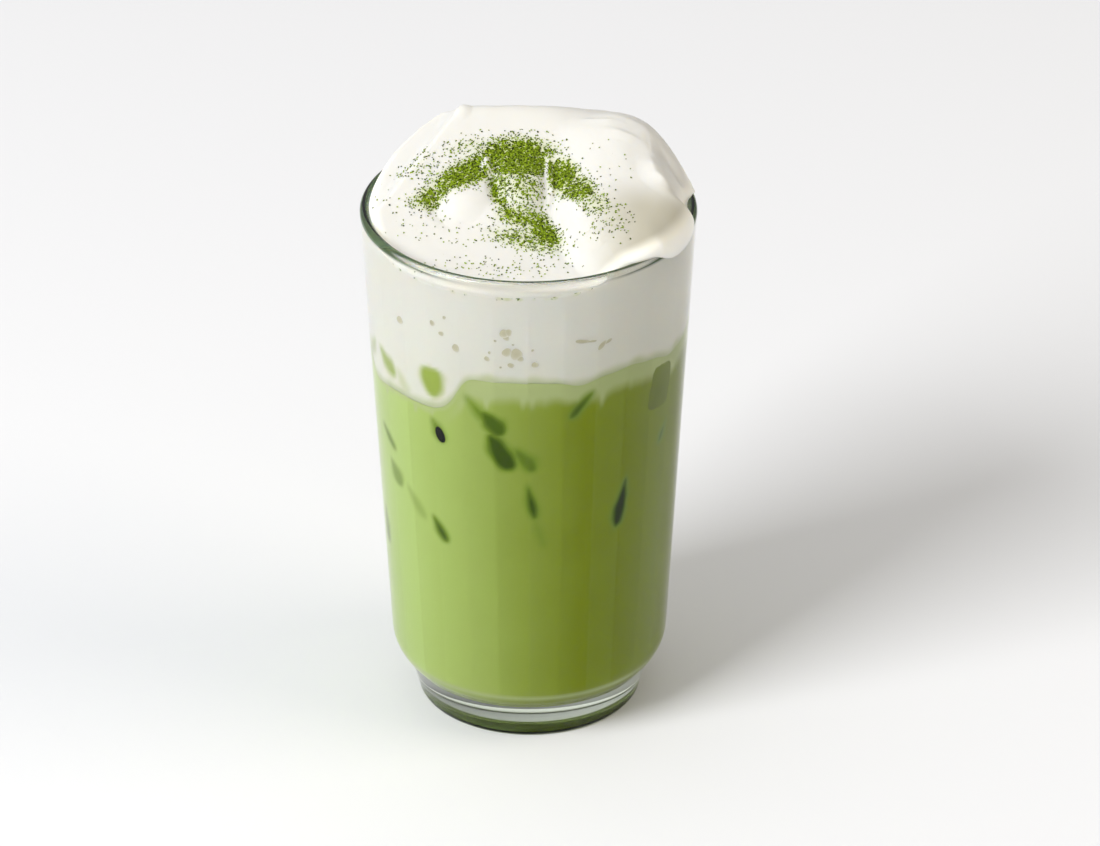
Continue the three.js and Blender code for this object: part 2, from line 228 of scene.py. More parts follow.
is_inside = add(tree, "GeometryNodeInputNamedAttribute", "inside", data_type="FLOAT")
inner = add(tree, "GeometryNodeSampleIndex", outline, is_inside, row, data_type="FLOAT")
angle = worked(tree, "MULTIPLY", across, 2 * math.pi)
half_panel = worked(tree, "DIVIDE", math.pi, given.outputs["Panels"])
panel_width = worked(tree, "MULTIPLY", half_panel, 2.0)
within = worked(tree, "FLOORED_MODULO", angle, panel_width)
off_centre = worked(tree, "SUBTRACT", within, half_panel)
flat = worked(tree, "DIVIDE", worked(tree, "COSINE", half_panel), worked(tree, "COSINE", off_centre))
drawn_in = worked(tree, "SUBTRACT", 1.0, flat)
panel_bottom = given.outputs["Panel bottom"]
panel_top = given.outputs["Panel top"]
fade_start = worked(tree, "SUBTRACT", panel_bottom, given.outputs["Panel fade"])
fade_end = worked(tree, "ADD", panel_top, given.outputs["Panel fade"])
fade_in = add(tree, "ShaderNodeMapRange", outline_height, fade_start, panel_bottom, 0.0, 1.0,
              interpolation_type="SMOOTHSTEP")
fade_out = add(tree, "ShaderNodeMapRange", outline_height, panel_top, fade_end, 1.0, 0.0,
               interpolation_type="SMOOTHSTEP")
strength = worked(tree, "MULTIPLY", worked(tree, "MULTIPLY", fade_in, fade_out), inner)
kept_share = worked(tree, "SUBTRACT", 1.0, worked(tree, "MULTIPLY", drawn_in, strength))
radius = worked(tree, "MULTIPLY", outline_place.outputs["X"], kept_share)
to_right = worked(tree, "MULTIPLY", radius, worked(tree, "SINE", angle))
to_front = worked(tree, "MULTIPLY", radius, worked(tree, "COSINE", angle))
place = add(tree, "ShaderNodeCombineXYZ", to_right, worked(tree, "MULTIPLY", to_front, -1.0), outline_height)
turned = add(tree, "GeometryNodeSetPosition", sheet, sockets={"Position": place})
closed = add(tree, "GeometryNodeMergeByDistance", turned, sockets={"Distance": WELD_DISTANCE})
smooth = add(tree, "GeometryNodeSetShadeSmooth", closed)
height = add(tree, "ShaderNodeSeparateXYZ", position).outputs["Z"]
near_rim = add(tree, "ShaderNodeMapRange", height, given.outputs["Rim bottom"], given.outputs["Rim top"],
               0.0, 1.0)
marked = add(tree, "GeometryNodeStoreNamedAttribute", smooth, sockets={"Name": "rim", "Value": near_rim},
             data_type="FLOAT", domain="POINT")
whole = add(tree, "GeometryNodeRealizeInstances", marked)
finished = add(tree, "GeometryNodeSetMaterial", whole, sockets={"Material": given.outputs["Material"]})
tree.links.new(finished.outputs[0], out.inputs[0])

profile, outer_count = glass_profile()
profile_mesh = bpy.data.meshes.new("glass_profile")
profile_mesh.from_pydata([(r * MM, 0, z * MM) for r, z in profile],
                         [(i, i + 1) for i in range(len(profile) - 1)], [])
inside_mark = profile_mesh.attributes.new("inside", "FLOAT", "POINT")
inside_mark.data.foreach_set("value", [float(i >= outer_count) for i in range(len(profile))])
glass = grown("glass_tumbler", profile_mesh, tree, {
    "Steps": GLASS_STEPS, "Panels": PANELS, "Panel bottom": PANEL_BOTTOM * MM,
    "Panel top": PANEL_TOP * MM, "Panel fade": PANEL_FADE * MM,
    "Rim bottom": DARK_FROM * MM, "Rim top": BEAD_HEIGHT * MM, "Material": glass_material,
})
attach(glass, "root")
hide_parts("glass")

# The drink: cold milk whisked with matcha, opaque and green, poured over ice. It fills the glass
# from the floor to a wavy line under the cream and wets the wall, so it reaches just into it.
INTO_WALL = 0.15
DRINK_STEPS = 14 * PANELS
DRINK_LEVEL = 104
DRINK_WAVE = 0.45
DRINK_SWELLS = [
    # (what, angle, half width in degrees, rise in mm, power of the flank)
    ("dip at the front left", -55, 28, -11, 8),
    ("slope at the left", -100, 30, -5, 2),
    ("sag at the front right", 20, 8, -1.6, 2),
    ("slope at the right", 66, 14, -3, 2),
    ("dip at the back", 165, 34, -6, 4),
]


def swells(base, rows, angle):
    total = np.full(np.shape(angle), float(base))
    for _, centre, width, rise, power in rows:
        away = np.abs((angle - centre + 180) % 360 - 180)
        total = total + rise * np.exp(-((away / width) ** power))
    return total


def smoothstep(low, high, value):
    share = np.clip((value - low) / (high - low), 0, 1)
    return share * share * (3 - 2 * share)


def panel_share(angle, z):
    half = 180 / PANELS
    flat = math.cos(math.radians(half)) / np.cos(np.radians(angle % (2 * half) - half))
    fade = smoothstep(PANEL_BOTTOM - PANEL_FADE, PANEL_BOTTOM, z)
    fade = fade * (1 - smoothstep(PANEL_TOP, PANEL_TOP + PANEL_FADE, z))
    return 1 - (1 - flat) * fade


RIPPLE_GAIN = 1.6


def ripple(a, b, seed, count=7, low=0.6, high=1.8):
    """Soft waves over two coordinates, about -1 to 1, from a few sines with seeded directions."""
    draw = np.random.default_rng(seed)
    total = np.zeros(np.broadcast(a, b).shape)
    for _ in range(count):
        turn, phase = draw.uniform(0, 2 * math.pi, 2)
        pitch = draw.uniform(low, high)
        total += np.sin(pitch * (a * math.cos(turn) + b * math.sin(turn)) + phase)
    return total / count * RIPPLE_GAIN


def ring_mesh(name, angles, radius, height, marks):
    """A closed mesh of rings, one row of radius and height for each, with a pole at both ends."""
    rows, steps = radius.shape
    turn = np.radians(angles)
    x, y = radius * np.sin(turn), -radius * np.cos(turn)
    points = np.stack([x, y, height], -1)[1:-1].reshape(-1, 3)
    poles = np.array([[0, 0, height[0].mean()], [0, 0, height[-1].mean()]])
    here = np.arange(steps)
    then = (here + 1) % steps
    first, final = len(points), len(points) + 1
    faces = [(first, b, a) for a, b in zip(here.tolist(), then.tolist())]
    for row in range(rows - 3):
        a, b = here + row * steps, then + row * steps
        faces += np.stack([a, b, b + steps, a + steps], -1).tolist()
    top = (rows - 3) * steps
    faces += [(a + top, b + top, final) for a, b in zip(here.tolist(), then.tolist())]
    mesh = bpy.data.meshes.new(name)
    mesh.from_pydata((np.vstack([points, poles]) * MM).tolist(), [], faces)
    mesh.shade_smooth()
    for label, values in marks.items():
        flat_values = np.concatenate([values[1:-1].ravel(), [values[0].mean(), values[-1].mean()]])
        stored = mesh.attributes.new(label, "FLOAT", "POINT")
        stored.data.foreach_set("value", flat_values.astype(np.float32))
    return mesh


def shown(name, mesh, material):
    piece = bpy.data.objects.new(name, mesh)
    bpy.context.scene.collection.objects.link(piece)
    mesh.materials.append(material)
    return piece


def drink_level(angle, share):
    at_glass = swells(DRINK_LEVEL, DRINK_SWELLS, angle)
    at_glass = at_glass + DRINK_WAVE * ripple(np.radians(angle), 0, seed=21, count=9, low=5, high=30)
    return DRINK_LEVEL + (at_glass - DRINK_LEVEL) * share**2


# Windows where ice presses against the wall and thins the drink to a dark film: the angle and
# height of both tips, the half width in mm, a power under 1 that blunts the tips, and the strength
ICE_WINDOWS = [
    ("seed", -39.4, 90.6, -33.6, 83.6, 1.7, 0.7, 0.5),
    ("left slim", -73.1, 79.4, -61.5, 74.6, 1.0, 0.8, 0.6),
    ("left blur", -67.5, 71.4, -59.0, 65.0, 2.3, 0.8, 0.38),
    ("left trail", -56.0, 67.4, -44.5, 59.7, 1.5, 0.9, 0.22),
    ("low leaf", -41.6, 62.6, -34.0, 55.3, 1.3, 0.8, 0.8),
    ("left edge", -79.0, 54.5, -78.2, 43.0, 2.0, 0.8, 0.45),
    ("long cube, edge", -25.0, 99.6, -13.5, 91.0, 1.3, 0.7, 0.5),
    ("long cube, top", -18.6, 95.8, -9.0, 89.0, 2.5, 0.6, 0.72),
    ("long cube, foot", -15.8, 90.0, -6.0, 79.0, 2.8, 0.5, 0.78),
    ("cube beside it", -6.2, 86.4, 3.0, 79.0, 2.1, 0.6, 0.55),
    ("middle leaf", -0.9, 76.4, 2.6, 65.0, 1.3, 0.8, 0.8),
    ("middle trail", 1.7, 66.6, 6.5, 57.0, 1.0, 0.8, 0.3),
    ("stroke", 25.0, 100.6, 14.6, 92.9, 1.2, 0.6, 0.75),
    ("right slim", 63.8, 83.4, 58.4, 76.9, 1.2, 0.8, 0.6),
    ("right leaf", 41.1, 74.3, 36.2, 58.5, 1.9, 0.8, 0.92),
    ("side leaf", 97, 78, 101, 64, 2.0, 0.8, 0.7),
    ("back leaf", 139, 66, 136, 52, 1.8, 0.8, 0.7),
    ("back cube", 152, 90, 163, 78, 3.2, 0.5, 0.75),
    ("back trail", 176, 54, 181, 42, 1.4, 0.8, 0.4),
    ("back left leaf", 199, 85, 195, 70, 2.0, 0.8, 0.75),
    ("left side leaf", 243, 70, 240, 57, 1.7, 0.8, 0.7),
    ("left side cube", 254, 91, 262, 80, 2.6, 0.6, 0.65),
]
WINDOW_BLUR = 1.5
WINDOW_WAVE = 0.15
WINDOW_TEAR = 1.4
WINDOW_END = (-0.08, 0.16)


def window_film(windows, angle, z):
    """How far leaf-shaped windows in the skin at the wall show what lies behind it, 0 to 1."""
    film = np.zeros(np.shape(angle))
    for _, angle_a, z_a, angle_b, z_b, wide, blunt, strength in windows:
        reach = math.radians(angle_b - angle_a) * inside_radius(z_a)
        fall = z_b - z_a
        length = math.hypot(reach, fall)
        u = np.radians((angle - angle_a + 180) % 360 - 180) * inside_radius(z_a)
        v = z - z_a
        along = (u * reach + v * fall) / length**2
        off = np.abs(u * fall - v * reach) / length
        off = off * (1 + WINDOW_WAVE * ripple(u, v, seed=int(10 * z_a)))
        leaf = wide * np.sin(math.pi * np.clip(along, 0, 1) ** WINDOW_TEAR) ** blunt
        ends = smoothstep(*WINDOW_END, along) * smoothstep(*WINDOW_END, 1 - along)
        clear = 1 - smoothstep(leaf - WINDOW_BLUR, leaf + WINDOW_BLUR, off)
        film = np.maximum(film, strength * ends * clear)
    return film


# The drink's rings, from the middle of the floor out, up the wall and in across the top, with
# close rows on both sides of the edge to keep it crisp
DRINK_FLOOR_ROWS = 6
DRINK_CORNER_STEPS = 12
DRINK_WALL_ROWS = 150
DRINK_TOP_ROWS = 9
UNDER_EDGE = 0.9992
WITHIN_EDGE = 0.998
drink_angles = np.arange(DRINK_STEPS) * 360 / DRINK_STEPS
flat_floor = inside_radius(WALL_FOOT) - FLOOR_ROUND
drink_rows = [(flat_floor * s, FLOOR_HEIGHT - INTO_WALL) for s in np.linspace(0, 1, DRINK_FLOOR_ROWS)[:-1]]
drink_rows += arc(flat_floor, WALL_FOOT, FLOOR_ROUND + INTO_WALL, -90, 0, DRINK_CORNER_STEPS)
radius = [r * panel_share(drink_angles, z) for r, z in drink_rows]
height = [np.full(DRINK_STEPS, z) for _, z in drink_rows]
edge = drink_level(drink_angles, 1)
for share in [*np.linspace(0, 1, DRINK_WALL_ROWS)[1:-1], UNDER_EDGE, 1]:
    z = WALL_FOOT + (edge - WALL_FOOT) * share
    height.append(z)
    radius.append(inside_radius(z) * panel_share(drink_angles, z) + INTO_WALL)
top_radius = radius[-1]
for share in [WITHIN_EDGE, *np.linspace(1, 0, DRINK_TOP_ROWS)[1:]]:
    radius.append(share * top_radius)
    height.append(drink_level(drink_angles, share))
radius = np.array(radius)
height = np.array(height)

# Milk bleeds down from the cream in a band with fingers, except where the cream lies bare against the glass,
# and a pale line, a painted highlight, is laid where the floor's corner turns.
# Lengths are in mm at the wall.
WALL_RADIUS = 36
UPRIGHT = 0.4
MILK_WAVE = 0.8
MILK_FINGER = 2.4
MILK_BAND = (3.2, 7.2)
MILK_SEAM = (0.2, 1.8)
MILK_SEAM_SHARE = 0.8
MILK_BARE = [("bare side", -60, 34, 1, 8), ("bare back", 150, 60, 0.7, 4)]
TURN_HEIGHT = 13.6
TURN_WIDTH = 0.45
TURN_RADIUS = 25
TURN_HIGHLIGHT_SHARE = 0.85
around = np.radians(drink_angles) * WALL_RADIUS
under_cream = edge - height
under_cream = under_cream + MILK_WAVE * ripple(around, height * UPRIGHT, seed=5, count=9, low=0.5, high=1.6)
fingers = np.clip(ripple(around, 0, seed=31, count=7, low=0.8, high=2.4), 0, 1) ** 2
under_cream = under_cream - MILK_FINGER * fingers
milk_and_highlight = (1 - smoothstep(*MILK_BAND, under_cream)) * (1 - swells(0, MILK_BARE, drink_angles))
milk_and_highlight = np.maximum(milk_and_highlight, MILK_SEAM_SHARE * (1 - smoothstep(*MILK_SEAM, under_cream)))
# A painted highlight along the turn of the floor's corner, kept in the same mark as the milk
painted_turn_highlight = np.exp(-(((height - TURN_HEIGHT) / TURN_WIDTH) ** 2)) * (radius > TURN_RADIUS)
milk_and_highlight = np.maximum(milk_and_highlight, TURN_HIGHLIGHT_SHARE * painted_turn_highlight)

# Painted shade: the green deepens towards the right, away from the key lamp, a little from panel to panel,
# and below the turn, where the floor's corner faces down
PAINTED_SHADE_MIDDLE = 0.5
PAINTED_SHADE_SWING = 0.8
PAINTED_SHADE_TURN = 12
PAINTED_PANEL_SHADES = [(0.07, 2.4), (0.05, 5.1)]
PAINTED_SHADE_BELOW = 0.2
PAINTED_SHADE_BELOW_TURN = (12.4, 13.6)
# Painted shade, kept in the drink's strength mark: darker green to the right, from panel to panel and below
# the turn
strength = np.clip(PAINTED_SHADE_MIDDLE + PAINTED_SHADE_SWING * np.sin(np.radians(drink_angles + PAINTED_SHADE_TURN)), 0, 1)
panel = np.floor(drink_angles * PANELS / 360)
for swing, pitch in PAINTED_PANEL_SHADES:
    strength = strength + swing * np.sin(pitch * panel)
strength = strength + PAINTED_SHADE_BELOW * (1 - smoothstep(*PAINTED_SHADE_BELOW_TURN, height))
film = window_film(ICE_WINDOWS, np.broadcast_to(drink_angles, height.shape), height)
drink_mesh = ring_mesh("matcha_drink", drink_angles, radius, height,
                       {"milk_and_highlight": milk_and_highlight, "ice": film, "strength": strength})

# Matcha milk: an opaque suspension that wets the glass and so has no shine of its own.
# It is paler where the cream bleeds into it and along a painted highlight at the floor's corner. Painted
# shade darkens its green towards the right, and it is olive where ice shows through.
matcha_material, nodes, shader = new_material("matcha_milk")
CLOUD_SIZE = 14 * MM
CLOUD_SHARE = 0.1
VEIL_FILM = (0.0, 0.45)
OLIVE_FILM = (0.4, 0.75)
DARK_FILM = (0.72, 0.95)
where = add(nodes, "ShaderNodeTexCoord").outputs["Object"]
cloud = add(nodes, "ShaderNodeTexNoise", where, sockets={"Scale": 1 / CLOUD_SIZE, "Detail": 3.0})
cloudy = worked(nodes, "MULTIPLY", cloud.outputs["Fac"], CLOUD_SHARE)
# The strength mark is painted shade; it takes the green from pale to deep
deep = worked(nodes, "ADD", mark(nodes, "strength"), cloudy)
green = mixed(nodes, deep, linear("#c9e086"), linear("#8fa008"))
pale = mixed(nodes, mark(nodes, "milk_and_highlight"), green, linear("#c6d394"))
ice_mark = mark(nodes, "ice")
thin = add(nodes, "ShaderNodeMapRange", ice_mark, *VEIL_FILM, 0.0, 1.0)
veil = mixed(nodes, thin, pale, linear("#84a032"))
thinner = add(nodes, "ShaderNodeMapRange", ice_mark, *OLIVE_FILM, 0.0, 1.0)
olive = mixed(nodes, thinner, veil, linear("#4a6600"))
thinnest = add(nodes, "ShaderNodeMapRange", ice_mark, *DARK_FILM, 0.0, 1.0)
dark = mixed(nodes, thinnest, olive, linear("#1c2800"))
nodes.links.new(dark, shader.inputs["Base Color"])
shader.inputs["Roughness"].default_value = 0.35
shader.inputs["IOR"].default_value = 1.35
shader.inputs["Specular IOR Level"].default_value = 0.0
drink = shown("matcha_drink", drink_mesh, matcha_material)
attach(drink, "root")
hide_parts("matcha")

# The ice: half-melted cubes sunk in the drink, stained by it. Where a face or a corner of one is
# pressed against the wall no drink is left between, and a crisp dark patch shows.
ICE_CUBES = [
    # (what, angle, height, half sizes across, up and deep, lean, how far it would pass the wall,
    # squareness, darkness)
    ("pane at the right", 57.6, 94.2, 4.5, 6.6, 6.0, 7, 1.0, 5, 0.0),
    ("seed", -36.4, 87.0, 4.0, 7.4, 5.0, -18, 0.12, 2.2, 1.0),
    ("side pane", 117, 91, 5.5, 4.6, 6.0, 28, 0.8, 5, 0.1),
    ("back left pane", 219, 92, 4.2, 5.4, 6.0, -24, 0.8, 5, 0.1),
    ("back seed", 171, 70, 5.0, 7.5, 5.0, 30, 0.15, 2.4, 0.9),
    ("left side seed", 258, 64, 4.6, 7.0, 5.0, 25, 0.14, 2.4, 0.9),
]
ICE_PROUD = 0.04
ICE_FINENESS = 5
ice_points, ice_faces, ice_tones = [], [], []
for _, angle, z, across, up, deep, lean, past, power, tone in ICE_CUBES:
    ball = bmesh.new()
    bmesh.ops.create_icosphere(ball, subdivisions=ICE_FINENESS, radius=1)
    way = np.array([v.co for v in ball.verts])
    way = way / (np.abs(way) ** power).sum(1, keepdims=True) ** (1 / power)
    first = len(ice_points)
    ice_faces += [[first + v.index for v in face.verts] for face in ball.faces]
    ball.free()
    c, s = math.cos(math.radians(lean)), math.sin(math.radians(lean))
    side = across * way[:, 0] * c + up * way[:, 1] * s
    height = z + up * way[:, 1] * c - across * way[:, 0] * s
    wall = inside_radius(z) * panel_share(np.array(angle), np.array(z)) + INTO_WALL
    out = wall + past + deep * (way[:, 2] - 1)
    about = np.degrees(np.arctan2(side, out)) + angle
    wall = inside_radius(height) * panel_share(about, height) + INTO_WALL + ICE_PROUD
    r = np.minimum(np.hypot(side, out), wall)
    x, y = r * np.sin(np.radians(about)), -r * np.cos(np.radians(about))
    ice_points += np.stack([x, y, height], -1).tolist()
    ice_tones += [tone] * len(way)
ice_mesh = bpy.data.meshes.new("ice_cubes")
ice_mesh.from_pydata((np.array(ice_points) * MM).tolist(), [], ice_faces)
ice_mesh.shade_smooth()
tone_mark = ice_mesh.attributes.new("tone", "FLOAT", "POINT")
tone_mark.data.foreach_set("value", ice_tones)

# Stained ice: clear, with nothing but dark drink behind it, so the eye gets olive to nearly black.
ice_material, nodes, shader = new_material("stained_ice")
ICE_CLOUD_SIZE = 6 * MM
ICE_CLOUD_SHARE = 0.4
where = add(nodes, "ShaderNodeTexCoord").outputs["Object"]
cloud = add(nodes, "ShaderNodeTexNoise", where, sockets={"Scale": 1 / ICE_CLOUD_SIZE, "Detail": 2.0})
cloudy = worked(nodes, "MULTIPLY", cloud.outputs["Fac"], ICE_CLOUD_SHARE)
depth = worked(nodes, "ADD", cloudy, mark(nodes, "tone"))
olive = mixed(nodes, depth, linear("#889a00"), linear("#060c02"))
nodes.links.new(olive, shader.inputs["Base Color"])
shader.inputs["Roughness"].default_value = 0.3
shader.inputs["IOR"].default_value = 1.31
shader.inputs["Specular IOR Level"].default_value = 0.0
ice = shown("ice_cubes", ice_mesh, ice_material)
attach(ice, "root")

# The cream: lightly whipped, spooned on the drink. It floats as a layer against the wall, lies in
# a smooth pool at the front, and is heaped in folds at the back and right, over the rim.
CREAM_STEPS = 18 * PANELS

# Where the skin ends: a length along the glass from the foot of the rim's bead, up and over it
CREAM_EDGE = -0.9
CREAM_EDGE_SWELLS = [
    ("low pool at the front", -18, 42, -2.4, 6),
    ("meniscus at the left", -100, 34, 1.5, 4),
    ("lobe on the rim", 56, 20, 3.9, 4),
    ("lobe over the rim", 66, 13, 3.3, 4),
    ("gap beside the lobe", 86, 8, -1.0, 4),
    ("heap at the right", 118, 25, 4.8, 6),
    ("heap at the back", 172, 40, 1.2, 2),
]

# How far in from its edge the skin is rounded over, how far its side bulges past the edge, how
# thickly it covers the rim's bead, and how far its lip stands off the outside of the glass. It
# comes onto the bead, and outside it, over the edge lengths given here.
CREAM_ROLL = 3.0
CREAM_ROLL_SWELLS = [("lobe over the rim", 56, 24, 5.0, 4), ("full side at the right", 105, 30, 4.0, 2)]
CREAM_BELLY = 0.0
CREAM_BELLY_SWELLS = [("lobe over the rim", 58, 20, 1.2, 4), ("full side at the right", 114, 22, 0.3, 4)]
CREAM_OVER_BEAD = 0.6
CREAM_LIP = 0.35
ON_BEAD = (1.5, 3.5)
ON_OUTSIDE = (2.2, 3.6)
BEAD_BLEND = 1.0
BESIDE_BEAD = 3
COVER_FADE = 0.4

# The heap under its spoonfuls, as heights above the rim: a pool at the front, a slope that rises
# to the back, a straight left side with its foot, a rounded back and a right side that falls
# away. A plane is its level at the axis and its rise along x and y.
POOL_LEVEL = -3.3
POOL_RISE = 1.0
POOL_WIDTH = 26
SLOPE = (4.2, 0.02, 0.47)
LEFT_SIDE = (39.1, 1.1, -0.3)
LEFT_BACK = (6.15, 0.15, 0.25)
BACK_LEVEL = 15.2
BACK_FROM = 20
BACK_FALL = 0.06
RIGHT_LEVEL = 15.4
RIGHT_FALL = 0.018
SIDE_BLEND = 2.0
LEFT_BLEND = 1.0
BACK_BLEND = 1.5
RIGHT_BLEND = 3.0
POOL_BLEND = 5.0
SKIN_WAVE = 0.10

# Spoonfuls: x, y, half sizes, turn, top above the rim, tilts, drop at the half size, power, blend
CREAM_LOBES = [
    ("skirt", -7.0, -2.0, 16.0, 9.5, -8, 3.2, 0.0, 0.10, 5.0, 1.5, 3.0),
    ("left cheek", -14.0, 1.2, 9.6, 11.6, -10, 5.5, 0.0, 0.14, 6.5, 1.8, 1.5),
    ("tongue", -1.6, 4.0, 8.2, 13.6, 5, 7.6, 0.0, 0.14, 7.5, 2.2, 1.2),
    ("right front", 27.0, -14.0, 30.0, 17.0, -72, 7.0, -0.05, 0.16, 6.0, 1.6, 2.0),
    ("right shoulder", 22.0, 15.0, 15.0, 18.0, 0, 13.2, -0.15, 0.0, 6.0, 1.0, 3.0),
]
# Swellings and hollows: x, y, half sizes, rise, power of the flank
CREAM_SWELLINGS = [("bowl", 14, 6, 15, 10, -1.0, 2), ("peak", -15.8, 23, 2.6, 4.0, 0.6, 1.5)]
# Folds and creases: path, rise, reach to the left and right of it, power of the flank
CREAM_FOLDS = [
    ("blade", [(6.0, -4.5), (10.0, -10), (12.5, -16)], 1.4, 7, 3.0, 1.6),
    ("second blade", [(13.5, -20.0), (17.5, -26)], 1.0, 5, 2.2, 1.5),
    ("right ridge", [(29, 7), (29.3, 2.9), (30, -1.7), (33, -5.6), (36.5, -7.5)], 1.6, 7, 4, 1.6),
    ("thin fold", [(4.9, 8), (5.4, -2), (4.2, -6)], 1.3, 0.9, 1.4, 1.3),
    ("notch", [(-10.5, 9), (-9.0, 4.0)], 1.2, 1.3, 2.0, 1.3),
    ("back edge", [(14, 23), (27, 17), (33, 9)], 0.7, 6, 5, 1.6),
    ("groove by the tongue", [(-8.8, 7), (-8.6, 0), (-7.5, -6)], -0.7, 2.0, 2.0, 1.4),
    ("groove by the cheek", [(-22.5, 1), (-22, -6), (-18, -11.5)], -0.6, 2.5, 2.5, 1.5),
    ("crease at the right", [(31, 12), (35, 5.4), (37.6, 1.5)], -1.5, 3.5, 3.5, 1.6),
    ("wrinkle", [(19, 13), (27, 10)], 0.4, 1.5, 2.5, 1.4),
    ("second wrinkle", [(12, 19), (22, 16.5)], 0.35, 1.5, 2.5, 1.4),
]


def smooth_max(a, b, blend):
    share = np.maximum(blend - np.abs(a - b), 0) / blend
    return np.maximum(a, b) + share * share * blend / 4


def ellipse_share(x, y, cx, cy, rx, ry, turn):
    c, s = math.cos(math.radians(turn)), math.sin(math.radians(turn))
    return (((x - cx) * c + (y - cy) * s) / rx) ** 2 + (((y - cy) * c - (x - cx) * s) / ry) ** 2


def fold(x, y, path, rise, left, right, power, soft=0.12, taper=0.35, least=0.25):
    """Height of a ridge along a path: sharp on top, with its own reach on each side, low at its ends."""
    lengths = [math.dist(a, b) for a, b in zip(path, path[1:])]
    nearest = np.full(np.shape(x), 1e9)
    side, share = np.zeros(np.shape(x)), np.zeros(np.shape(x))
    gone = 0
    for (ax, ay), (bx, by), length in zip(path, path[1:], lengths):
        ux, uy = (bx - ax) / length, (by - ay) / length
        along = np.clip((x - ax) * ux + (y - ay) * uy, 0, length)
        ex, ey = x - ax - along * ux, y - ay - along * uy
        away = np.hypot(ex, ey)
        closer = away < nearest
        nearest = np.where(closer, away, nearest)
        side = np.where(closer, ux * ey - uy * ex, side)
        share = np.where(closer, (gone + along) / sum(lengths), share)
        gone += length
    reach = np.where(side > 0, left, right)
    fall = np.sqrt((nearest / reach) ** 2 + soft**2) - soft
    end = smoothstep(0, taper, np.minimum(share, 1 - share))
    return rise * (least + (1 - least) * end) * np.clip(1 - fall, 0, 1) ** power


def plane(flat, x, y):
    level, rise_x, rise_y = flat
    return level + rise_x * x + rise_y * y


def cream_height(x, y):
    """Height of the cream's skin above the rim, before its edge is rounded over."""
    pool = POOL_LEVEL + POOL_RISE * np.exp(-((x / POOL_WIDTH) ** 2 + (y / POOL_WIDTH) ** 2))
    left_side = smooth_max(plane(LEFT_SIDE, x, y), plane(LEFT_BACK, x, y), SIDE_BLEND)
    back = BACK_LEVEL - BACK_FALL * np.maximum(y - BACK_FROM, 0) ** 2
    right_side = RIGHT_LEVEL - RIGHT_FALL * np.maximum(x, 0) ** 2
    height = -smooth_max(-plane(SLOPE, x, y), -left_side, LEFT_BLEND)
    height = -smooth_max(-height, -back, BACK_BLEND)
    height = -smooth_max(-height, -right_side, RIGHT_BLEND)
    height = smooth_max(pool, height, POOL_BLEND)
    for _, cx, cy, rx, ry, turn, top, tilt_x, tilt_y, drop, power, blend in CREAM_LOBES:
        lobe = top + tilt_x * (x - cx) + tilt_y * (y - cy)
        lobe = lobe - drop * ellipse_share(x, y, cx, cy, rx, ry, turn) ** power
        height = smooth_max(height, lobe, blend)
    for _, cx, cy, rx, ry, rise, power in CREAM_SWELLINGS:
        height = height + rise * np.clip(1 - ellipse_share(x, y, cx, cy, rx, ry, 0), 0, 1) ** power
    for _, path, rise, left, right, power in CREAM_FOLDS:
        height = height + fold(x, y, path, rise, left, right, power)
    return height + SKIN_WAVE * ripple(x, y, seed=11, count=9, low=0.3, high=0.9)


def rim_point(length, proud):
    """Radius and height on the glass at a length from the foot of the bead, lifted by proud."""
    bead = math.pi * BEAD_RADIUS
    turn = math.pi - np.clip(length, 0, bead) / BEAD_RADIUS
    below, beyond = np.minimum(length, 0), np.maximum(length - bead, 0)
    r = BEAD_CENTRE + (BEAD_RADIUS + proud) * np.cos(turn)
    r = r + inside_radius(BEAD_HEIGHT + below) - inside_radius(BEAD_HEIGHT) - WALL_SLOPE * beyond
    return r, BEAD_HEIGHT + (BEAD_RADIUS + proud) * np.sin(turn) + below - beyond


def over_bead(r):
    """Height that just covers the rim's bead, and far below beside it."""
    reach = BEAD_RADIUS + CREAM_OVER_BEAD
    off = np.minimum(np.abs(r - BEAD_CENTRE), reach)
    above = np.sqrt(reach**2 - off**2) + BESIDE_BEAD
    return BEAD_HEIGHT - BESIDE_BEAD + above * smoothstep(0, COVER_FADE * reach, reach - off)


# The cream's rings, from the middle of its underside out, up the wall, over the rim's bead where
# it hangs over, and in across its skin, with close rows at the line on the drink
CREAM_UNDER_SHARES = [0, 0.25, 0.5, 0.75, WITHIN_EDGE]
CREAM_WALL_ROWS = 40
CREAM_ABOVE_LINE = 0.003
CREAM_RIM_ROWS = 12
CREAM_SKIN_ROWS = 120
CREAM_SKIN_PACKING = 0.9
CREAM_WALL_FROM = 20
cream_angles = np.arange(CREAM_STEPS) * 360 / CREAM_STEPS
level = drink_level(cream_angles, 1)
edge = swells(CREAM_EDGE, CREAM_EDGE_SWELLS, cream_angles)
roll = swells(CREAM_ROLL, CREAM_ROLL_SWELLS, cream_angles)
belly = swells(CREAM_BELLY, CREAM_BELLY_SWELLS, cream_angles)
on_bead = smoothstep(*ON_BEAD, edge)
outside = smoothstep(*ON_OUTSIDE, edge)
wall_top = BEAD_HEIGHT + np.minimum(edge, 0)
radius, height = [], []
for share in CREAM_UNDER_SHARES:
    radius.append(share * (inside_radius(level) * panel_share(cream_angles, level) + INTO_WALL))
    height.append(drink_level(cream_angles, share))
for share in [0, CREAM_ABOVE_LINE, *np.linspace(0, 1, CREAM_WALL_ROWS)[1:-1]]:
    z = level + (wall_top - level) * share
    radius.append(inside_radius(z) * panel_share(cream_angles, z) + INTO_WALL)
    height.append(z)
